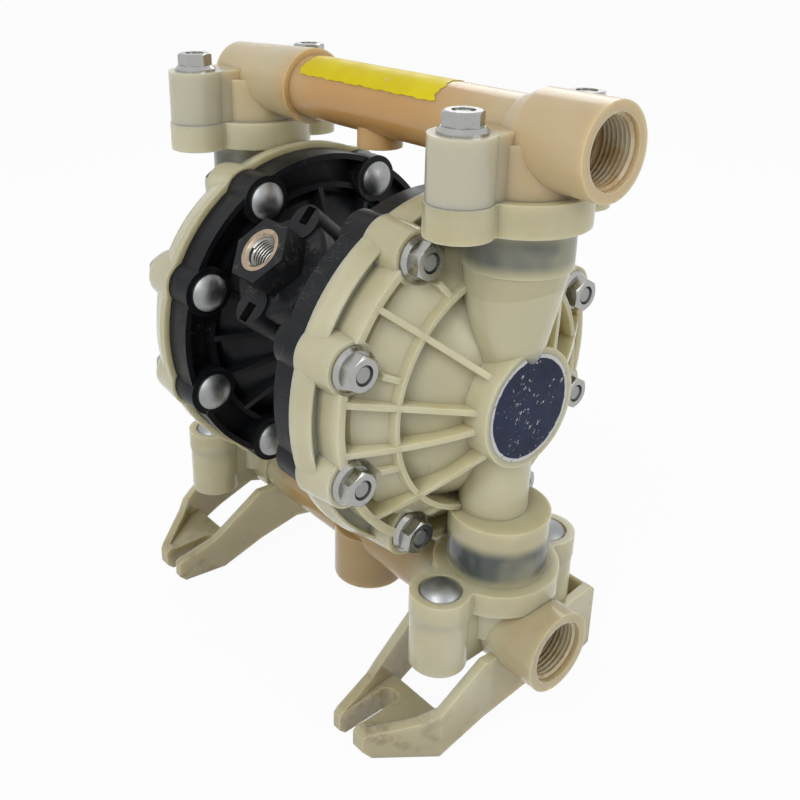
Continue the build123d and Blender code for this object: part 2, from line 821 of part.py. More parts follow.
with BuildPart() as fluid_cover_right:
    with BuildSketch(along):
        with BuildLine():
            Polyline(
                (parting, 0),
                (parting, cover_flange_r),
                (parting + cover_rim, cover_flange_r),
                (cover_flange_face, groove_outer_r + 1),
                (cover_flange_face, groove_outer_r),
                (cover_flange_face - groove_depth, groove_outer_r),
                (cover_flange_face - groove_depth, cover_wall_outer_r),
                (cover_wall_face, cover_wall_outer_r),
                (cover_wall_face, cover_wall_inner_r),
                (window_floor, cover_wall_inner_r),
                (window_floor, band_outer_r + band_lip),
                (band_outer_x, band_outer_r),
                band_inner,
                (ring_top, band_inner[1]),
                (ring_top, band_inner[1] - ring_rib),
                skin_outer,
            )
            ThreePointArc(skin_outer, skin_middle, skin_inner)
            Polyline(
                skin_inner,
                (label_face, label_boss_r),
                (label_face, 0),
                (parting, 0),
            )
        make_face()
    revolve(axis=shaft_axis)
    with BuildSketch(across(parting)):
        with Locations(*bolt_points):
            Circle(cover_boss_r)
    extrude(amount=nut_seat - parting, taper=cover_boss_draft)
    add(cover_ribs.part)
    # Short stub ribs that run inwards from the bosses
    for angle in bolt_angles:
        with BuildSketch(radial_section(angle)):
            Polygon(
                (window_floor, band_inner[1] - 1),
                (window_floor, stub_r),
                (stub_end, stub_r),
                (ring_top - 0.5, band_inner[1] - 1),
                align=None,
            )
        extrude(amount=cover_rib / 2, both=True)

    # Upper neck with its ear, and the channel that runs down into the label boss
    with BuildSketch(level(upper_neck_foot)):
        with Locations((duct_x, 0)):
            Circle(neck_r)
    extrude(amount=joint_rise - upper_neck_foot)
    with BuildSketch(level(joint_rise - upper_ear)):
        with Locations((duct_x, 0)):
            ear()
    extrude(amount=upper_ear)
    with BuildSketch(level(channel_foot)):
        with Locations((channel_foot_x, 0)):
            Circle(channel_foot_r)
    with BuildSketch(level(upper_neck_foot)):
        with Locations((duct_x, 0)):
            Circle(neck_r - 0.8)
    loft()
    # Lower neck with its ear, and the pipe that enters it
    with BuildSketch(level(-joint_rise)):
        with Locations((duct_x, 0)):
            Circle(neck_r)
    extrude(amount=joint_rise - lower_neck_top)
    with BuildSketch(level(-joint_rise)):
        with Locations((duct_x, 0)):
            ear()
    extrude(amount=lower_ear)
    with BuildSketch(level(-lower_neck_top - 2)):
        with Locations((pipe_x, 0)):
            Circle(pipe_r)
    extrude(amount=lower_neck_top - 6)

    # Chamber, with the groove for the diaphragm's bead
    with BuildSketch(along):
        with BuildLine():
            Polyline(
                (parting, 0),
                (parting, bead_outer_r + seat_gap),
                (parting + bead_thick / 2, bead_outer_r + seat_gap),
                (parting + bead_thick / 2, dish_outer),
                chamber_outer,
            )
            ThreePointArc(chamber_outer, chamber_middle, chamber_inner)
            Polyline(chamber_inner, (chamber_inner[0], 0), (parting, 0))
        make_face()
    revolve(axis=shaft_axis, mode=Mode.SUBTRACT)
    # Ball cages at both ends, and the bore that joins them to the chamber
    with BuildSketch(level(seat_ledge)):
        with Locations((duct_x, 0)):
            Circle(cage_r)
    extrude(amount=joint_rise - seat_ledge, mode=Mode.SUBTRACT)
    with BuildSketch(level(-joint_rise)):
        with Locations((duct_x, 0)):
            Circle(cage_r)
    extrude(amount=joint_rise - lower_neck_top - 4, mode=Mode.SUBTRACT)
    with BuildSketch(level(-lower_neck_top - 5)):
        with Locations((duct_bore_x, 0)):
            Circle(duct_bore_r)
    extrude(amount=lower_neck_top + 6 + seat_ledge, mode=Mode.SUBTRACT)
    with BuildSketch(level(-lower_neck_top - 5)):
        with Locations((duct_x, 0)):
            Rectangle(2 * ball_r + 4, cage_slot)
            Rectangle(cage_slot, 2 * ball_r + 4)
    extrude(amount=3.5, mode=Mode.SUBTRACT)

    # Recess for the label, bolt holes with spot faces, and recesses for the dome heads
    with BuildSketch(across(label_face)):
        Circle(label_r + seat_gap)
    extrude(amount=-label_thick, mode=Mode.SUBTRACT)
    with BuildSketch(across(parting)):
        with Locations(*bolt_points):
            Circle(bolt_hole_r)
    extrude(amount=nut_seat - parting, mode=Mode.SUBTRACT)
    with BuildSketch(across(nut_seat)):
        with Locations(*bolt_points):
            Circle(spot_face_r)
    extrude(amount=nut_height + 3, mode=Mode.SUBTRACT)
    with BuildSketch(level(-joint_rise), level(joint_rise - upper_ear)):
        with Locations((duct_x, lug_y), (duct_x, -lug_y)):
            Circle(bolt_hole_r)
    extrude(amount=max(lower_ear, upper_ear), mode=Mode.SUBTRACT)
    with BuildSketch(level(joint_rise - upper_ear)):
        with Locations((duct_x, lug_y), (duct_x, -lug_y)):
            Circle(dome_recess_r)
    extrude(amount=upper_dome_recess, mode=Mode.SUBTRACT)
    with BuildSketch(level(-joint_rise + lower_ear)):
        with Locations((duct_x, lug_y), (duct_x, -lug_y)):
            Circle(dome_recess_r)
    extrude(amount=-lower_dome_recess, mode=Mode.SUBTRACT)
finish(fluid_cover_right, "fluid_cover_right")

with BuildPart() as fluid_cover_left:
    mirror(fluid_cover_right.part, about=Plane.YZ)
finish(fluid_cover_left, "fluid_cover_left")

with BuildPart() as label_plate_right:
    with BuildSketch(across(label_face - label_thick)):
        Circle(label_r)
    extrude(amount=label_thick)
finish(label_plate_right, "label_plate_right")

with BuildPart() as label_plate_left:
    mirror(label_plate_right.part, about=Plane.YZ)
finish(label_plate_left, "label_plate_left")

# ---- Ball checks: a seat, a ball above it, and a ring seal in each manifold joint ----
# An outlet seat lies on the ledge in the cover's neck, and an inlet seat on the inlet manifold
outlet_seat_z = axis_height + seat_ledge
inlet_seat_z = axis_height - joint_rise
cone_run = seat_cone_r - seat_bore_r
ball_reach = (ball_r + free_gap) * sqrt(cone_run**2 + cone_depth**2) - cone_depth * seat_bore_r
ball_over_seat = seat_height - cone_depth + ball_reach / cone_run


def seat(x, z):
    """Ball seat with a conical mouth, standing on z."""
    with BuildPart() as piece:
        with BuildSketch(Plane(origin=(x, 0, z), x_dir=(1, 0, 0), z_dir=(0, -1, 0))):
            Polygon(
                (seat_bore_r, 0),
                (cage_r - 2 * seat_gap, 0),
                (cage_r - 2 * seat_gap, seat_height),
                (seat_cone_r, seat_height),
                (seat_bore_r, seat_height - cone_depth),
                align=None,
            )
        revolve(axis=Axis((x, 0, z), (0, 0, 1)))
    return piece


def ball(x, z):
    """Check ball resting in a seat that stands on z."""
    with BuildPart() as piece:
        with Locations((x, 0, z + ball_over_seat)):
            Sphere(ball_r)
    return piece


for side, x in (("left", -duct_x), ("right", duct_x)):
    finish(seat(x, outlet_seat_z + seat_gap), f"outlet_seat_{side}")
    finish(seat(x, inlet_seat_z + seat_gap), f"inlet_seat_{side}")
    finish(ball(x, outlet_seat_z), f"outlet_ball_{side}")
    finish(ball(x, inlet_seat_z), f"inlet_ball_{side}")

with BuildPart() as joint_seals:
    with BuildSketch(level(joint_rise), level(-joint_rise - 2 * joint_seal_section)):
        with Locations((-duct_x, 0), (duct_x, 0)):
            Circle(joint_seal_r + joint_seal_section)
            Circle(joint_seal_r - joint_seal_section, mode=Mode.SUBTRACT)
    extrude(amount=2 * joint_seal_section)
finish(joint_seals, "joint_seals")

# ---- Outlet manifold: tube, threaded port at one end, closed hub at the other ----
seal_groove = 2 * joint_seal_section + seat_gap
with BuildPart() as outlet_manifold:
    with BuildSketch(Plane(origin=(0, 0, outlet_z), x_dir=(0, 1, 0), z_dir=(1, 0, 0))):
        Circle(tube_r)
    extrude(amount=duct_x, both=True)
    with BuildSketch(Plane(origin=(port_boss_start, 0, outlet_z), x_dir=(0, 1, 0), z_dir=(1, 0, 0))):
        Circle(port_boss_r)
    extrude(amount=outlet_face - port_boss_start)
    with BuildSketch(Plane(origin=(port_boss_start, 0, outlet_z), x_dir=(0, 1, 0), z_dir=(1, 0, 0))):
        Circle(port_boss_r)
    extrude(amount=-port_swell, taper=port_swell_angle)
    # Closed hub with a rounded end
    with BuildSketch(Plane(origin=(0, 0, outlet_z), x_dir=(1, 0, 0), z_dir=(0, -1, 0))):
        with BuildLine():
            Polyline(
                (-hub_end, 0), (-hub_start, 0), (-hub_start, hub_r), (-hub_end + 9, hub_end_r)
            )
            ThreePointArc(
                (-hub_end + 9, hub_end_r), (-hub_end + 2.4, 0.6 * hub_end_r), (-hub_end, 0)
            )
        make_face()
    revolve(axis=Axis((0, 0, outlet_z), (1, 0, 0)))
    # Lugs, webs and the disc over each duct
    for x in (-duct_x, duct_x):
        with BuildSketch(level(joint_rise)):
            with Locations((x, 0)):
                Circle(hub_disc_r)
        extrude(amount=outlet_rise - joint_rise)
        with BuildSketch(level(joint_rise)):
            with Locations((x, 0)):
                Rectangle(2 * ear_lug_r - 6, 2 * lug_y)
            with Locations((x, -lug_y), (x, lug_y)):
                Circle(ear_lug_r - 0.5)
        extrude(amount=outlet_lug_top - joint_rise)
    # Blank boss below the middle of the tube
    with BuildSketch(Plane.XY.offset(outlet_z - outlet_boss_drop)):
        with Locations((outlet_boss_x, 0)):
            Circle(outlet_boss_r)
    extrude(amount=outlet_boss_drop)
    # Bores
    with BuildSketch(Plane(origin=(outlet_face, 0, outlet_z), x_dir=(0, 1, 0), z_dir=(1, 0, 0))):
        Circle(tube_bore_r)
    extrude(amount=-(outlet_face + hub_end - 12), mode=Mode.SUBTRACT)
    with BuildSketch(Plane(origin=(outlet_face, 0, outlet_z), x_dir=(0, 1, 0), z_dir=(1, 0, 0))):
        Circle(port_bore_r)
    extrude(amount=-port_depth, mode=Mode.SUBTRACT)
    for x in (-duct_x, duct_x):
        with BuildSketch(level(joint_rise)):
            with Locations((x, 0)):
                Circle(ball_r + 2.5)
        extrude(amount=ball_stop_gap, mode=Mode.SUBTRACT)
        with BuildSketch(level(joint_rise)):
            with Locations((x, 0)):
                Circle(ball_r - 3)
                Rectangle(2 * ball_r + 4, cage_slot)
                Rectangle(cage_slot, 2 * ball_r + 4)
        extrude(amount=outlet_rise - joint_rise, mode=Mode.SUBTRACT)
        with BuildSketch(level(joint_rise)):
            with Locations((x, 0)):
                Circle(joint_seal_r + joint_seal_section + seat_gap)
                Circle(joint_seal_r - joint_seal_section - seat_gap, mode=Mode.SUBTRACT)
        extrude(amount=seal_groove, mode=Mode.SUBTRACT)
        with BuildSketch(level(joint_rise)):
            with Locations((x, -lug_y), (x, lug_y)):
                Circle(bolt_hole_r)
        extrude(amount=outlet_lug_top - joint_rise, mode=Mode.SUBTRACT)
finish(outlet_manifold, "outlet_manifold")

# ---- Inlet manifold: tube, threaded port, closed hub, blank boss below, and the four feet ----
# One end's two feet: a ring of upright walls, and a slotted pad at each tip
foot_plan = [
    (foot_root_outer, 0),
    (foot_knee_outer, -foot_knee_y),
    (foot_tip_outer, -foot_tip_y),
    (foot_tip_inner, -foot_tip_y),
    (foot_knee_inner, -foot_knee_y),
    (foot_root_inner, 0),
    (foot_knee_inner, heel_y),
    (heel_outer - heel_corner, heel_y),
    (heel_outer, heel_y - heel_corner),
]
foot_side = [
    (-foot_tip_y, foot_toe),
    (-foot_tip_y, foot_pad_height - 1),
    (-foot_tip_y + 2, foot_pad_height + 0.5),
    (-foot_step_y, foot_step),
    (-foot_top_y, foot_top),
    (foot_top_y, foot_top),
    (heel_y - heel_round, heel_top),
    (heel_y, heel_top - heel_round),
    (heel_y, foot_toe),
    (heel_y - foot_toe, 0),
    (foot_knee_y, 0),
    (foot_knee_y / 2, 0.6 * foot_arch),
    (0, foot_arch),
    (-foot_knee_y / 2, 0.6 * foot_arch),
    (-foot_knee_y, 0),
    (-foot_tip_y + foot_toe, 0),
]

with BuildPart() as feet:
    with BuildSketch():
        Polygon(*foot_plan, align=None)
    extrude(amount=foot_top)
    with BuildSketch(Plane.XY.offset(foot_pad_height)):
        Polygon(*foot_plan, align=None)
        offset(amount=-foot_wall, mode=Mode.REPLACE)
    extrude(amount=foot_top, mode=Mode.SUBTRACT)
    with BuildSketch():
        Polygon(*foot_plan, align=None)
        offset(amount=-foot_wall, mode=Mode.REPLACE)
        with Locations((duct_x, 0)):
            Rectangle(2 * duct_x, 2 * foot_pad_start, mode=Mode.INTERSECT)
    extrude(amount=foot_top, mode=Mode.SUBTRACT)
    with BuildSketch():
        with Locations((foot_slot_x, foot_slot_end + 30), (foot_slot_x, -foot_slot_end - 30)):
            SlotOverall(60, foot_slot_width, rotation=90)
    extrude(amount=foot_top, mode=Mode.SUBTRACT)
    with BuildSketch(Plane.YZ):
        Polygon(*foot_side, align=None)
    extrude(amount=2 * duct_x, mode=Mode.INTERSECT)

inlet_across = Plane(origin=(0, 0, inlet_z), x_dir=(0, 1, 0), z_dir=(1, 0, 0))
with BuildPart() as inlet_manifold:
    add(feet.part)
    with BuildSketch(level(-joint_rise)):
        with Locations((duct_x, 0)):
            Circle(hub_disc_r)
    extrude(amount=joint_rise - inlet_drop)
    with BuildSketch(level(-joint_rise)):
        with Locations((duct_x, 0)):
            Rectangle(2 * ear_lug_r - 6, 2 * lug_y)
        with Locations((duct_x, -lug_y), (duct_x, lug_y)):
            Circle(ear_lug_r - 0.5)
    extrude(amount=joint_rise - inlet_lug_end)
    with BuildSketch(inlet_across.offset(duct_x - neck_r)):
        Circle(inlet_hub_r)
    extrude(amount=2 * neck_r - 3)
    mirror(about=Plane.YZ)
    with BuildSketch(inlet_across):
        Circle(tube_r)
    extrude(amount=duct_x, both=True)
    with BuildSketch(inlet_across.offset(port_boss_start)):
        Circle(port_boss_r)
    extrude(amount=inlet_face - port_boss_start)
    with BuildSketch(level(-joint_rise)):
        with Locations((duct_x, 0)):
            Circle(ear_disc_r + free_gap)
    extrude(amount=port_boss_r, mode=Mode.SUBTRACT)
    with BuildSketch(Plane.XY.offset(centre_boss_end)):
        with Locations((centre_boss_x, 0)):
            Circle(centre_boss_r)
    extrude(amount=inlet_z - centre_boss_end)
    # Bores, nut pockets and grooves for the ring seals
    with BuildSketch(inlet_across.offset(inlet_face)):
        Circle(tube_bore_r)
    extrude(amount=-(inlet_face + duct_x + 8), mode=Mode.SUBTRACT)
    with BuildSketch(inlet_across.offset(inlet_face)):
        Circle(port_bore_r)
    extrude(amount=-port_depth, mode=Mode.SUBTRACT)
    for x in (-duct_x, duct_x):
        with BuildSketch(level(-joint_rise)):
            with Locations((x, 0)):
                Circle(seat_bore_r + 1)
        extrude(amount=joint_rise - inlet_drop, mode=Mode.SUBTRACT)
        with BuildSketch(level(-joint_rise)):
            with Locations((x, 0)):
                Circle(joint_seal_r + joint_seal_section + seat_gap)
                Circle(joint_seal_r - joint_seal_section - seat_gap, mode=Mode.SUBTRACT)
        extrude(amount=-seal_groove, mode=Mode.SUBTRACT)
        with BuildSketch(level(-joint_rise)):
            with Locations((x, -lug_y), (x, lug_y)):
                Circle(bolt_hole_r)
        extrude(amount=joint_rise - inlet_lug_end, mode=Mode.SUBTRACT)
        with BuildSketch(level(-inlet_lug_end)):
            with Locations((x, -lug_y), (x, lug_y)):
                Circle(nut_pocket_r)
        extrude(amount=nut_pocket_depth, mode=Mode.SUBTRACT)
finish(inlet_manifold, "inlet_manifold")
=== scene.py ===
"""A used air operated diaphragm pump: translucent yellowed covers and manifolds round a black air housing."""

from math import cos, pi, radians, sin

import bpy
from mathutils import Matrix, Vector


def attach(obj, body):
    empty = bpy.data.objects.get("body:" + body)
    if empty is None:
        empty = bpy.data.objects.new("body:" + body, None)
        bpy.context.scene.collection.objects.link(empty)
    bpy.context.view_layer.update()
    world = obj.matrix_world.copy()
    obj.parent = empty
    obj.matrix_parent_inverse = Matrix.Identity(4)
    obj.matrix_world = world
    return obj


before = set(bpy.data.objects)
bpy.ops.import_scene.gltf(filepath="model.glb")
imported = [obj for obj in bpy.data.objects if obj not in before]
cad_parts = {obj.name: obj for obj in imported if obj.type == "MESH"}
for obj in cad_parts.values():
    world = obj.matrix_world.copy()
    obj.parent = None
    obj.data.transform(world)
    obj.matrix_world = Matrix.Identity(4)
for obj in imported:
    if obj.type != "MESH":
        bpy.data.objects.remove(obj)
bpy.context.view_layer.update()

# ---- Centre housing ----
# Black glass-filled plastic, moulded in one piece with its ribs, bosses, hexagon and valve block.
# Handling has left fine pale scratches on it, and brown dust sits round the air inlet.


class Field:
    """A socket in a material, with arithmetic that adds Math nodes."""

    def __init__(self, look, socket):
        self.look = look
        self.socket = socket

    def maths(self, operation, other, swap=False):
        pair = (other, self) if swap else (self, other)
        return self.look.node("ShaderNodeMath", {"operation": operation}, *pair)["Value"]

    def __add__(self, other):
        return self.maths("ADD", other)

    def __radd__(self, other):
        return self.maths("ADD", other, True)

    def __sub__(self, other):
        return self.maths("SUBTRACT", other)

    def __rsub__(self, other):
        return self.maths("SUBTRACT", other, True)

    def __mul__(self, other):
        return self.maths("MULTIPLY", other)

    def __rmul__(self, other):
        return self.maths("MULTIPLY", other, True)

    def __pow__(self, other):
        return self.maths("POWER", other)

    def __abs__(self):
        return self.maths("ABSOLUTE", 0.0)

    def high(self, other):
        """The greater of the two."""
        return self.maths("MAXIMUM", other)

    def ramp(self, start, end, low=0.0, high=1.0):
        """Smooth rise from low to high as the value goes from start to end."""
        settings = {"interpolation_type": "SMOOTHSTEP"}
        return self.look.node(
            "ShaderNodeMapRange", settings, self, start, end, low, high
        )["Result"]


class Look:
    """One procedural material."""

    def __init__(self, name, **constants):
        self.material = bpy.data.materials.new(name)
        self.material.use_nodes = True
        self.tree = self.material.node_tree
        self.shader = self.tree.nodes["Principled BSDF"]
        for socket, value in constants.items():
            self.shader.inputs[socket.replace("_", " ")].default_value = value
        self.place = self.node("ShaderNodeTexCoord", {})["Object"]
        split = self.node("ShaderNodeSeparateXYZ", {}, self.place)
        self.x, self.y, self.z = split["X"], split["Y"], split["Z"]

    def node(self, kind, settings, *values, **named):
        """Add a node, give it its settings, then the values or links of its sockets."""
        made = self.tree.nodes.new(kind)
        for key, value in settings.items():
            setattr(made, key, value)
        pairs = list(zip(made.inputs, values))
        pairs += [(made.inputs[k.replace("_", " ")], v) for k, v in named.items()]
        for socket, value in pairs:
            if isinstance(value, Field):
                self.tree.links.new(value.socket, socket)
            elif value is not None:
                socket.default_value = value
        return {s.name: Field(self, s) for s in made.outputs if s.enabled}

    def noise(self, scale, detail=3.0, roughness=0.55, stretch=None):
        """Cloudy value from 0 to 1 at so many cells per metre."""
        vector = self.place
        if stretch:
            vector = self.node("ShaderNodeMapping", {}, vector, Scale=stretch)["Vector"]
        return self.node(
            "ShaderNodeTexNoise",
            {"noise_dimensions": "3D"},
            Vector=vector,
            Scale=scale,
            Detail=detail,
            Roughness=roughness,
        )["Fac"]

    def mix(self, mask, first, second):
        """Colour that goes from first to second with the mask."""
        first = (*first, 1.0) if isinstance(first, tuple) and len(first) == 3 else first
        second = (*second, 1.0) if isinstance(second, tuple) and len(second) == 3 else second
        made = self.tree.nodes.new("ShaderNodeMix")
        made.data_type = "RGBA"
        sockets = (made.inputs[0], made.inputs[6], made.inputs[7])
        for socket, value in zip(sockets, (mask, first, second)):
            if isinstance(value, Field):
                self.tree.links.new(value.socket, socket)
            else:
                socket.default_value = value
        return Field(self, made.outputs[2])

    def scratches(self, scale, width, stretch):
        """Thin lines where a stretched noise passes through its middle value."""
        return abs(self.noise(scale, 2.0, 0.5, stretch) - 0.5).ramp(width, 0.0)

    def bump(self, height, distance, strength=1.0):
        made = self.node("ShaderNodeBump", {}, Strength=strength, Distance=distance, Height=height)
        self.output("Normal", made["Normal"])

    def output(self, socket, value):
        self.tree.links.new(value.socket, self.shader.inputs[socket])

    def wear(self, *names):
        """Put the material on CAD nodes."""
        for name in names:
            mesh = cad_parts[name].data
            mesh.materials.clear()
            mesh.materials.append(self.material)


shaft_z = 0.141
inlet_out = Vector((0.0, -0.7501, 0.6613))
inlet_reach = 0.0754
inlet_mouth = Vector((0.0, 0.0, shaft_z)) + inlet_reach * inlet_out
dust_full, dust_thin = 0.010, 0.045

housing = Look("black housing plastic", Specular_IOR_Level=0.16)
near_inlet = housing.node(
    "ShaderNodeVectorMath", {"operation": "DISTANCE"}, housing.place, tuple(inlet_mouth)
)["Value"]
dust = housing.noise(140, 6.0, 0.72).ramp(0.52, 0.74) * near_inlet.ramp(dust_thin, dust_full, 0.12, 1.0)
marks = housing.scratches(75, 0.007, (1.0, 3.0, 0.6)) * housing.noise(35).ramp(0.52, 0.66)
marks = marks.high(housing.scratches(110, 0.006, (0.5, 1.0, 3.5)) * housing.noise(28).ramp(0.55, 0.7))
black = housing.mix(housing.noise(25).ramp(0.35, 0.7), (0.006, 0.007, 0.009), (0.015, 0.016, 0.018))
black = housing.mix(marks * 0.7, black, (0.17, 0.165, 0.155))
housing.output("Base Color", housing.mix(dust * 0.5, black, (0.135, 0.12, 0.10)))
housing.output("Roughness", housing.noise(120).ramp(0.3, 0.7, 0.30, 0.45) + dust * 0.3)
housing.bump(housing.noise(900, 2.0) + dust * 0.6, 0.0002, 0.35)
housing.wear("center_housing", "valve_cover")

# ---- Fluid covers ----
# Natural polypropylene, moulded and translucent, yellowed to a greenish cream by age.
# Soft grey bands of painted shade stand for the dark seats and balls seen through the walls of the necks.
duct_x = 0.084
neck_shadow_r = 0.0215
upper_seat = (shaft_z + 0.0585, shaft_z + 0.0705)
lower_seat = (shaft_z - 0.0725, shaft_z - 0.0585)
seam_half = 0.0004


def natural(name):
    """Translucent polypropylene with clouds, specks, stains and a moulding seam, and its colour."""
    look = Look(
        name,
        Subsurface_Weight=0.85,
        Subsurface_Radius=(1.0, 0.88, 0.62),
        Subsurface_Scale=0.009,
        Specular_IOR_Level=0.5,
    )
    cloud = look.noise(18, 4.0, 0.6).ramp(0.3, 0.72)
    colour = look.mix(cloud, (0.48, 0.44, 0.27), (0.59, 0.55, 0.38))
    milky = look.noise(26, 2.0, 0.5, (1.0, 1.0, 0.4)).ramp(0.40, 0.80)
    colour = look.mix(milky * 0.45, colour, (0.60, 0.595, 0.48))
    stain = look.noise(20, 2.0, 0.5).ramp(0.52, 0.80)
    colour = look.mix(stain * 0.30, colour, (0.45, 0.37, 0.21))
    specks = look.noise(520, 2.0, 0.5).ramp(0.74, 0.79)
    colour = look.mix(specks * 0.4, colour, (0.16, 0.13, 0.08))
    look.output("Roughness", look.noise(120, 3.0).ramp(0.3, 0.7, 0.12, 0.24))
    seam = abs(look.y).ramp(seam_half, 0.0) * 0.35
    look.bump(look.noise(220, 2.0) * 0.3 + look.noise(45, 2.0) * 0.6 + seam, 0.0003, 0.25)
    return look, colour


def shadow_band(look, low, high):
    """Mask of painted shade where the dark seat and ball inside show through a neck's wall, between two
    heights.
    """
    soft = 0.003
    from_duct = ((abs(look.x) - duct_x) ** 2.0 + look.y**2.0) ** 0.5
    rising = look.z.ramp(low - soft, low + soft)
    falling = look.z.ramp(high + soft, high - soft)
    return rising * falling * from_duct.ramp(neck_shadow_r + 0.002, neck_shadow_r)


cover, cover_colour = natural("natural cover plastic")
# Painted shade: soft grey bands round each neck, where the dark seat and ball sit inside.
cloudy = cover.noise(42, 2.0).ramp(0.36, 0.62, 0.6, 1.0)
upper_painted_shade = shadow_band(cover, *upper_seat) * cloudy
cover_colour = cover.mix(upper_painted_shade * 0.85, cover_colour, (0.075, 0.095, 0.10))
lower_painted_shade = shadow_band(cover, *lower_seat) * cloudy
cover_colour = cover.mix(lower_painted_shade * 0.95, cover_colour, (0.055, 0.07, 0.075))
# Painted shade darkens the recessed skin between the ribs a little, and a painted highlight lightens the
# ribs, where light passes through them
skin_top_x, label_boss_r, skin_fall = 0.0845, 0.022, 25.0
dome_inner_r, dome_outer_r = 0.0235, 0.0495
radius = (cover.y**2.0 + (cover.z - shaft_z) ** 2.0) ** 0.5
skin_x = skin_top_x - (radius - label_boss_r).high(0.0) ** 2.0 * skin_fall
over_skin = abs(cover.x) - skin_x
in_dome = radius.ramp(dome_outer_r, dome_outer_r - 0.001) * radius.ramp(dome_inner_r, dome_inner_r + 0.0015)
# Painted shade on the recessed skin between the ribs.
skin_painted_shade = over_skin.ramp(0.0035, 0.0005) * in_dome
cover_colour = cover.mix(skin_painted_shade * 0.12, cover_colour, (0.40, 0.385, 0.27))
# Painted highlight on the ribs.
rib_painted_highlight = over_skin.ramp(0.0030, 0.0080) * in_dome
cover_colour = cover.mix(rib_painted_highlight * 0.35, cover_colour, (0.66, 0.64, 0.47))
# Painted shade greys the floor of the groove round the flange, which lies over the dark housing
groove_inner_r, groove_outer_r, groove_floor_x = 0.0692, 0.0741, 0.0550
across_groove = radius.ramp(groove_inner_r, groove_inner_r + 0.0006)
across_groove = across_groove * radius.ramp(groove_outer_r, groove_outer_r - 0.0006)
groove_painted_shade = across_groove * abs(cover.x).ramp(groove_floor_x + 0.001, groove_floor_x)
cover_colour = cover.mix(groove_painted_shade * 0.55, cover_colour, (0.33, 0.36, 0.33))
cover.output("Base Color", cover_colour)
cover.wear("fluid_cover_right", "fluid_cover_left")

# ---- Manifolds ----
# The same plastic as the covers. What was pumped has stained the tubes orange-brown from within,
# and the lower one, with its feet, is scuffed and dirty where it was bolted down.
outlet, outlet_colour = natural("stained outlet plastic")
hub_x = 0.060
port_x = 0.105
ear_root_y, ear_y = 0.016, 0.026
along = outlet.x.ramp(-hub_x, -0.020) * outlet.x.ramp(port_x, 0.020)
streak = outlet.noise(30, 4.0, 0.6, (0.4, 1.6, 1.6)).ramp(0.30, 0.75, 0.72, 1.0)
port_end = outlet.x.ramp(hub_x, port_x)
outlet_colour = outlet.mix(port_end * 0.75, outlet_colour, (0.58, 0.44, 0.26))
far_hub = outlet.x.ramp(-hub_x + 0.010, -hub_x - 0.005)
outlet_colour = outlet.mix(far_hub * 0.6, outlet_colour, (0.62, 0.49, 0.28))
outlet_colour = outlet.mix(along * 0.35 + 0.15, outlet_colour, (0.57, 0.37, 0.155))
outlet_colour = outlet.mix(along * streak * 0.9, outlet_colour, (0.55, 0.27, 0.06))
ears = abs(outlet.y).ramp(ear_root_y, ear_y)
outlet_colour = outlet.mix(ears * 0.85, outlet_colour, (0.52, 0.51, 0.41))
outlet.output("Base Color", outlet_colour)
outlet.wear("outlet_manifold")

inlet, inlet_colour = natural("scuffed inlet plastic")
foot_sole_z, foot_top_z = 0.004, 0.030
foot_root_y, foot_tip_y = 0.035, 0.066
middle = abs(inlet.x).ramp(hub_x, hub_x - 0.020) * abs(inlet.y).ramp(0.024, 0.018)
inlet_colour = inlet.mix(middle * 0.8, inlet_colour, (0.42, 0.26, 0.09))
# The feet are darker towards the bottom.
low_down = inlet.z.ramp(foot_top_z, foot_sole_z)
tips = abs(inlet.y).ramp(foot_root_y, foot_tip_y)
grime = inlet.noise(90, 5.0, 0.7).ramp(0.48, 0.70) * (low_down * 0.5 + tips * 0.6)
inlet_colour = inlet.mix(low_down * 0.55, inlet_colour, (0.36, 0.30, 0.165))
inlet_colour = inlet.mix(grime * 0.6, inlet_colour, (0.15, 0.11, 0.055))
port_end = abs(inlet.y).ramp(0.020, 0.016) * inlet.x.ramp(port_x - 0.010, port_x + 0.005)
inlet_colour = inlet.mix(port_end * 0.7, inlet_colour, (0.43, 0.34, 0.18))
inlet.output("Base Color", inlet_colour)
inlet.wear("inlet_manifold")

# ---- Fasteners ----
# Stainless M8 bolts with domed heads, and flanged hexagon nuts, pulled up by hand tools.
# The nuts are bright with a little brown in the corners; the domed heads are satin.
steel = Look("stainless fasteners", Metallic=1.0)
tarnish = steel.noise(420, 5.0, 0.7).ramp(0.50, 0.80)
steel.output("Base Color", steel.mix(tarnish * 0.3, (0.40, 0.40, 0.385), (0.24, 0.22, 0.18)))
steel.output("Roughness", steel.noise(700, 3.0).ramp(0.3, 0.7, 0.18, 0.28) + tarnish * 0.06)
steel.bump(steel.noise(1400, 3.0), 0.00005, 0.06)
fasteners = [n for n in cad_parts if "bolts" in n or "nuts" in n or "screws" in n]
steel.wear(*fasteners, "diaphragm_shaft", "pilot_pin_right", "pilot_pin_left")
satin = Look("satin bolt heads", Metallic=1.0)
brown = satin.noise(300, 4.0, 0.6).ramp(0.5, 0.8)
satin.output("Base Color", satin.mix(brown * 0.3, (0.33, 0.34, 0.34), (0.22, 0.205, 0.18)))
satin.output("Roughness", satin.noise(600, 3.0).ramp(0.3, 0.7, 0.40, 0.50))
satin.bump(satin.noise(1400, 3.0), 0.00005, 0.1)
satin.wear("cover_bolts_right", "cover_bolts_left", "inlet_bolts")

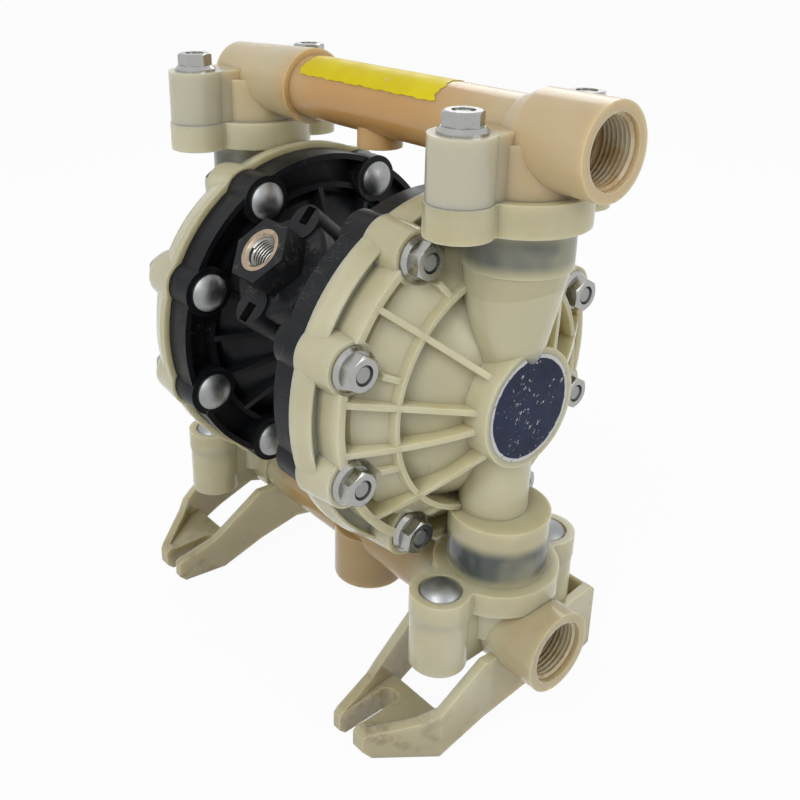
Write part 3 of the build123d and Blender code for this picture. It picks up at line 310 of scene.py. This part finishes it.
# ---- Air inlet insert ----
# A turned insert pressed into the hexagon; its face is dulled brass and its thread is steel grey.
insert = Look("turned insert", Metallic=1.0)
insert_bore_r = 0.0066
vector_maths = "ShaderNodeVectorMath"
from_mouth = insert.node(vector_maths, {"operation": "SUBTRACT"}, insert.place, tuple(inlet_mouth))
from_axis = insert.node(
    vector_maths, {"operation": "CROSS_PRODUCT"}, from_mouth["Vector"], tuple(inlet_out)
)
spread = insert.node(vector_maths, {"operation": "LENGTH"}, from_axis["Vector"])["Value"]
face = spread.ramp(insert_bore_r, insert_bore_r + 0.0006)
dull = insert.noise(320, 4.0, 0.6).ramp(0.4, 0.7)
brass = insert.mix(dull * 0.6, (0.44, 0.35, 0.25), (0.20, 0.15, 0.10))
insert.output("Base Color", insert.mix(face, (0.30, 0.29, 0.27), brass))
insert.output("Roughness", dull * 0.2 + 0.30)
insert.bump(insert.noise(800, 2.0), 0.0002, 0.3)
insert.wear("air_inlet_insert")

# ---- Threads of the four ports ----
# Pipe threads: moulded in the manifolds and the exhaust, cut in the metal insert of the air inlet.
# Each is one ridge wound along the wall of its bore.


def clear_selection():
    if bpy.context.object and bpy.context.object.mode != "OBJECT":
        bpy.ops.object.mode_set(mode="OBJECT")
    bpy.ops.object.select_all(action="DESELECT")


def thread(name, mouth, out, major, pitch, turns, look):
    """Wind one ridge inwards from the mouth of a bore."""
    depth = 0.6 * pitch
    steps = 48
    clear_selection()
    bpy.ops.mesh.primitive_plane_add(size=1.0)
    ridge = bpy.context.object
    ridge.name = name
    section = [(0.0, 0.02), (0.0, 0.98), (-depth, 0.44), (-depth, 0.56)]
    for vertex, (inward, share) in zip(ridge.data.vertices, section):
        vertex.co = (major + inward, 0.0, share * pitch)
    spiral = ridge.modifiers.new("spiral", "SCREW")
    spiral.axis = "Z"
    spiral.angle = 2 * pi
    spiral.screw_offset = pitch
    spiral.iterations = turns
    spiral.steps = steps
    spiral.render_steps = steps
    spiral.use_merge_vertices = False
    bpy.ops.object.modifier_apply(modifier="spiral")
    bpy.ops.object.mode_set(mode="EDIT")
    bpy.ops.mesh.select_all(action="SELECT")
    bpy.ops.mesh.remove_doubles(threshold=1e-7)
    bpy.ops.mesh.select_all(action="DESELECT")
    bpy.ops.mesh.select_non_manifold(use_wire=False, use_boundary=True, use_multi_face=False,
                                     use_non_contiguous=False, use_verts=False)
    bpy.ops.mesh.edge_face_add()
    bpy.ops.mesh.select_all(action="SELECT")
    bpy.ops.mesh.normals_make_consistent(inside=False)
    bpy.ops.object.mode_set(mode="OBJECT")
    ridge.rotation_euler = (-out).to_track_quat("Z", "Y").to_euler()
    ridge.location = mouth
    bpy.ops.object.transform_apply(location=True, rotation=True, scale=True)
    ridge.data.materials.clear()
    ridge.data.materials.append(look.material)
    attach(ridge, "pump_body")


along_x = Vector((1.0, 0.0, 0.0))
moulded = Look("moulded thread plastic", Specular_IOR_Level=0.4)
stained = moulded.noise(90, 4.0, 0.65).ramp(0.42, 0.68)
moulded.output("Base Color", moulded.mix(stained, (0.62, 0.55, 0.38), (0.50, 0.33, 0.13)))
moulded.output("Roughness", moulded.noise(200).ramp(0.3, 0.7, 0.25, 0.40))
moulded.bump(moulded.noise(700, 2.0), 0.0001, 0.3)
outlet_z, inlet_z = 0.2443, 0.0415
port_r, port_pitch, port_turns = 0.01318, 0.00181, 7
outlet_start = Vector((0.1203, 0, outlet_z))
inlet_start = Vector((0.1187, 0, inlet_z))
thread("outlet_thread", outlet_start, along_x, port_r, port_pitch, port_turns, moulded)
thread("inlet_thread", inlet_start, along_x, port_r, port_pitch, port_turns, moulded)
air_r, air_pitch, air_turns = 0.00648, 0.00134, 8
air_start = inlet_mouth - 0.0013 * inlet_out
thread("air_thread", air_start, inlet_out, air_r, air_pitch, air_turns, insert)
exhaust_r, exhaust_pitch, exhaust_turns = 0.00828, 0.00134, 10
exhaust_out = Vector((0.0, 0.64279, -0.76604))
exhaust_start = Vector((0.0, 0.0, shaft_z)) + 0.0592 * exhaust_out
thread("exhaust_thread", exhaust_start, exhaust_out, exhaust_r, exhaust_pitch, exhaust_turns, housing)

# ---- Label discs ----
# A thin disc sits in a recess in the end of each cover. It is navy with a silver edge,
# bare of any print, and chipped and scratched through to the pale base.
label = Look("navy label", Specular_IOR_Level=0.16)
print_r = 0.0203
from_centre = (label.y**2.0 + (label.z - shaft_z) ** 2.0) ** 0.5
ring = from_centre + (label.noise(300, 3.0) - 0.5) * 0.0012
silver = ring.ramp(print_r, print_r + 0.0003)
chips = label.noise(430, 4.0, 0.65).ramp(0.60, 0.63) * label.noise(85, 2.0).ramp(0.50, 0.58)
edge_chips = label.noise(420, 3.0).ramp(0.62, 0.66) * ring.ramp(print_r - 0.0003, print_r + 0.0009)
lines = label.scratches(120, 0.004, (1.0, 4.0, 0.5)) * label.noise(70).ramp(0.45, 0.6)
navy = label.mix(label.noise(60).ramp(0.3, 0.7), (0.007, 0.011, 0.036), (0.014, 0.021, 0.060))
navy = label.mix(lines * 0.35, navy, (0.20, 0.23, 0.30))
navy = label.mix(silver, navy, (0.60, 0.60, 0.58))
navy = label.mix(chips, navy, (0.46, 0.46, 0.42))
label.output("Base Color", label.mix(edge_chips * 0.7, navy, (0.035, 0.04, 0.06)))
label.output("Roughness", label.noise(200).ramp(0.3, 0.7, 0.30, 0.5))
label.bump(chips * -1.0, 0.0002, 0.5)
label.wear("label_plate_right", "label_plate_left")

# ---- Sticker ----
# A yellow vinyl strip laid over the top of the outlet tube, without print.
# Its lower edge is worn and nicked where hands have carried the pump.
tube_r = 0.0135
sticker_start, sticker_end = -0.0330, 0.0485
front_edge, rear_edge = -58.0, 34.0
nick_degrees = 1.6
vinyl_gap, vinyl_thick = 0.00012, 0.00015
clear_selection()
bpy.ops.mesh.primitive_grid_add(x_subdivisions=160, y_subdivisions=40, size=1.0)
sticker = bpy.context.object
sticker.name = "yellow_sticker"
for vertex in sticker.data.vertices:
    along_tube, across_tube = vertex.co.x + 0.5, vertex.co.y + 0.5
    near_front = max(0.0, 1 - 6 * across_tube)
    nick = nick_degrees * sin(61 * along_tube) * sin(23 * along_tube) * near_front
    angle = radians(front_edge + (rear_edge - front_edge) * across_tube + nick)
    ragged = 0.0006 * sin(17 * across_tube + 2) + 0.0004 * sin(41 * across_tube)
    x = sticker_start + (sticker_end - sticker_start) * along_tube + ragged
    sticker_r = tube_r + vinyl_gap
    vertex.co = (x, sticker_r * sin(angle), outlet_z + sticker_r * cos(angle))
bpy.ops.object.mode_set(mode="EDIT")
bpy.ops.mesh.select_all(action="SELECT")
bpy.ops.mesh.normals_make_consistent(inside=False)
bpy.ops.object.mode_set(mode="OBJECT")
solid = sticker.modifiers.new("thickness", "SOLIDIFY")
solid.thickness = vinyl_thick
solid.offset = 1.0
bpy.ops.object.modifier_apply(modifier="thickness")
bpy.ops.object.shade_smooth_by_angle(angle=radians(40))
vinyl = Look("yellow vinyl", Specular_IOR_Level=0.08)
rub = vinyl.noise(210, 5.0, 0.65).ramp(0.60, 0.66) * vinyl.noise(50, 2.0).ramp(0.50, 0.62)
yellow = vinyl.mix(vinyl.noise(40).ramp(0.3, 0.7), (0.66, 0.53, 0.012), (0.74, 0.61, 0.02))
vinyl.output("Base Color", vinyl.mix(rub * 0.8, yellow, (0.62, 0.50, 0.25)))
vinyl.output("Roughness", vinyl.noise(150).ramp(0.3, 0.7, 0.28, 0.45))
vinyl.bump(rub * -1.0, 0.0001, 0.4)
sticker.data.materials.clear()
sticker.data.materials.append(vinyl.material)
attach(sticker, "pump_body")

# ---- Inner pieces ----
# Seats, balls, seals and diaphragms are rubber and dark plastic; plates and bushings are pale or metal.
# They are hidden in the closed pump and show only in a cut or exploded view.
rubber = Look("moulded rubber")
worn = rubber.noise(90, 4.0).ramp(0.35, 0.7)
rubber.output("Base Color", rubber.mix(worn, (0.018, 0.018, 0.018), (0.05, 0.05, 0.048)))
rubber.output("Roughness", rubber.noise(200).ramp(0.3, 0.7, 0.5, 0.7))
rubber.bump(rubber.noise(700, 2.0), 0.0002, 0.3)
rubber_words = ("ball", "seal", "gasket", "diaphragm_left", "diaphragm_right")
rubber.wear(*[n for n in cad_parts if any(word in n for word in rubber_words)])
dark = Look("dark seat plastic")
dark.output("Base Color", dark.mix(dark.noise(80).ramp(0.3, 0.7), (0.05, 0.06, 0.07), (0.09, 0.10, 0.11)))
dark.output("Roughness", dark.noise(200).ramp(0.3, 0.7, 0.35, 0.5))
dark.bump(dark.noise(600, 2.0), 0.0002, 0.3)
dark.wear(*[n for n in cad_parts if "_seat_" in n])
pale = Look("acetal")
pale.output("Base Color", pale.mix(pale.noise(80).ramp(0.3, 0.7), (0.70, 0.69, 0.64), (0.80, 0.79, 0.75)))
pale.output("Roughness", pale.noise(200).ramp(0.3, 0.7, 0.3, 0.45))
pale.bump(pale.noise(600, 2.0), 0.0002, 0.2)
pale.wear("shaft_bushings", "pilot_bushings", "valve_cup", "valve_plate", "valve_carriage",
          "fluid_plate_right", "fluid_plate_left")
cast = Look("cast plate metal", Metallic=1.0)
cast.output("Base Color", cast.mix(cast.noise(120).ramp(0.3, 0.7), (0.50, 0.50, 0.50), (0.62, 0.62, 0.61)))
cast.output("Roughness", cast.noise(200).ramp(0.3, 0.7, 0.4, 0.6))
cast.bump(cast.noise(700, 3.0), 0.0003, 0.4)
cast.wear("air_plate_right", "air_plate_left")

# ---- Studio ----
# A white floor that runs far out, a broad soft lamp in front and above, and weaker ones round it.


def white_where_seen(tree, lit, white, share):
    """Mix in white for the camera and for rays that mirror or pass through, and not for the light."""
    rays = tree.nodes.new("ShaderNodeLightPath")
    seen = rays.outputs["Is Camera Ray"]
    for ray in ("Is Glossy Ray", "Is Transmission Ray"):
        either = tree.nodes.new("ShaderNodeMath")
        either.operation = "MAXIMUM"
        tree.links.new(seen, either.inputs[0])
        tree.links.new(rays.outputs[ray], either.inputs[1])
        seen = either.outputs[0]
    weight = tree.nodes.new("ShaderNodeMath")
    weight.operation = "MULTIPLY"
    weight.inputs[1].default_value = share
    tree.links.new(seen, weight.inputs[0])
    blend = tree.nodes.new("ShaderNodeMixShader")
    tree.links.new(weight.outputs[0], blend.inputs[0])
    tree.links.new(lit.outputs[0], blend.inputs[1])
    tree.links.new(white.outputs[0], blend.inputs[2])
    return blend.outputs[0]


clear_selection()
bpy.ops.mesh.primitive_plane_add(size=60.0, location=(0, 0, -0.0002))
floor = bpy.context.object
floor.name = "floor"
paper = bpy.data.materials.new("pale floor")
paper.use_nodes = True
tree = paper.node_tree
matt = tree.nodes["Principled BSDF"]
matt.inputs["Base Color"].default_value = (0.85, 0.85, 0.85, 1.0)
matt.inputs["Roughness"].default_value = 0.9
glow = tree.nodes.new("ShaderNodeEmission")
glow.inputs["Color"].default_value = (1.0, 1.0, 1.0, 1.0)
tree.links.new(white_where_seen(tree, matt, glow, 0.95), tree.nodes["Material Output"].inputs[0])
floor.data.materials.append(paper)

world = bpy.data.worlds.new("studio")
bpy.context.scene.world = world
world.use_nodes = True
tree = world.node_tree
backdrop = tree.nodes["Background"]
backdrop.inputs["Color"].default_value = (0.93, 0.94, 0.96, 1.0)
backdrop.inputs["Strength"].default_value = 0.42
white = tree.nodes.new("ShaderNodeBackground")
white.inputs["Color"].default_value = (1.0, 1.0, 1.0, 1.0)
white.inputs["Strength"].default_value = 1.0
tree.links.new(white_where_seen(tree, backdrop, white, 1.0), tree.nodes["World Output"].inputs[0])

target = Vector((0.0, 0.0, 0.13))


def lamp(name, place, size, power):
    """Square soft lamp that faces the pump."""
    data = bpy.data.lights.new(name, "AREA")
    data.size = size
    data.energy = power
    made = bpy.data.objects.new(name, data)
    bpy.context.scene.collection.objects.link(made)
    made.location = place
    made.rotation_euler = (target - Vector(place)).to_track_quat("-Z", "Y").to_euler()


lamp("key", (0.25, -0.75, 0.85), 0.6, 5.4)
lamp("side", (0.95, 0.25, 0.55), 0.6, 2.2)
lamp("back", (-0.6, 0.7, 0.8), 0.6, 2.5)

# ---- Camera ----
# In front and to the right of the pump, a little above it, and turned by less than a degree.
frame_pixels = 800
view_azimuth, view_elevation, view_roll = radians(49.41), radians(21.37), radians(0.77)
view_distance = 0.42848
view_focus = 968.35 / frame_pixels
view_centre = (367.75, 293.85)
aim = Vector((0.0, 0.0, 0.1584))
back = Vector((
    sin(view_azimuth) * cos(view_elevation),
    -cos(view_azimuth) * cos(view_elevation),
    sin(view_elevation),
))
camera_data = bpy.data.cameras.new("camera")
camera_data.sensor_width = 36.0
camera_data.lens = camera_data.sensor_width * view_focus
camera_data.shift_x = (frame_pixels / 2 - view_centre[0]) / frame_pixels
camera_data.shift_y = (view_centre[1] - frame_pixels / 2) / frame_pixels
camera_data.clip_start = 0.01
camera = bpy.data.objects.new("camera", camera_data)
bpy.context.scene.collection.objects.link(camera)
camera.location = aim + view_distance * back
camera.rotation_euler = back.to_track_quat("Z", "Y").to_euler()
camera.rotation_euler.rotate_axis("Z", view_roll)
bpy.context.scene.camera = camera
bpy.context.scene.view_settings.view_transform = "Standard"
